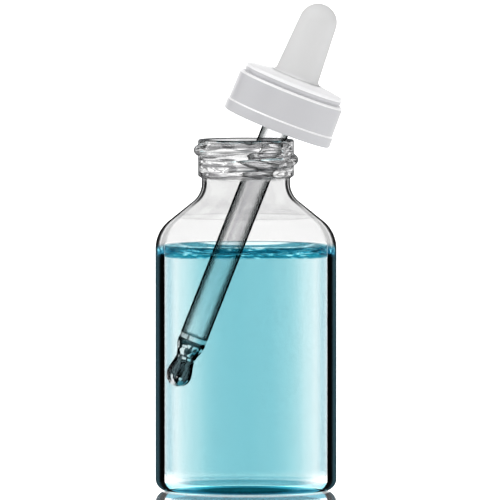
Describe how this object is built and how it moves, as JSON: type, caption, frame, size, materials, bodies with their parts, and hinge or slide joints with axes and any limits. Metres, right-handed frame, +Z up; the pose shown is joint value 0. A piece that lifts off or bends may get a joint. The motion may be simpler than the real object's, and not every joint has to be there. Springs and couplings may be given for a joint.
{
  "type": "serum bottle",
  "caption": "Round clear glass bottle with a screw-thread neck, filled to the shoulder with turquoise serum; its white screw-cap dropper leans in the open neck, ball tip down.",
  "frame": {"origin": "centre of the bottle's flat base", "axes": "+Z up along the bottle's axis; the dropper leans towards +X, turned 6 degrees towards -Y, which is the side the picture shows"},
  "size_m": [0.0414, 0.04, 0.1077],
  "materials": {
    "clear_glass": "polished",
    "turquoise_serum": "clear liquid",
    "pipette_glass": "polished",
    "white_polypropylene": "satin moulded",
    "white_rubber": "soft matte moulded"
  },
  "bodies": {
    "bottle": {"glass_bottle": "clear_glass", "serum": "turquoise_serum"},
    "dropper": {"glass_pipette": "pipette_glass"},
    "cap": {"screw_cap": "white_polypropylene"},
    "bulb": {"rubber_bulb": "white_rubber"}
  },
  "joints": [
    {"name": "dropper_lift", "type": "slide", "parent": "bottle", "child": "dropper", "axis": [0.3662, -0.0385, 0.9298], "range_m": [0, 0.062]},
    {"name": "cap_turn", "type": "hinge", "parent": "dropper", "child": "cap", "pos_m": [0.00672, -0.00071, 0.0803], "axis": [0.3662, -0.0385, 0.9298], "continuous": true},
    {"name": "bulb_squeeze", "type": "slide", "parent": "dropper", "child": "bulb", "axis": [0.3662, -0.0385, 0.9298], "range_m": [-0.004, 0], "stiffness_N_per_m": 1200, "deforming": ["rubber_bulb"]}
  ]
}
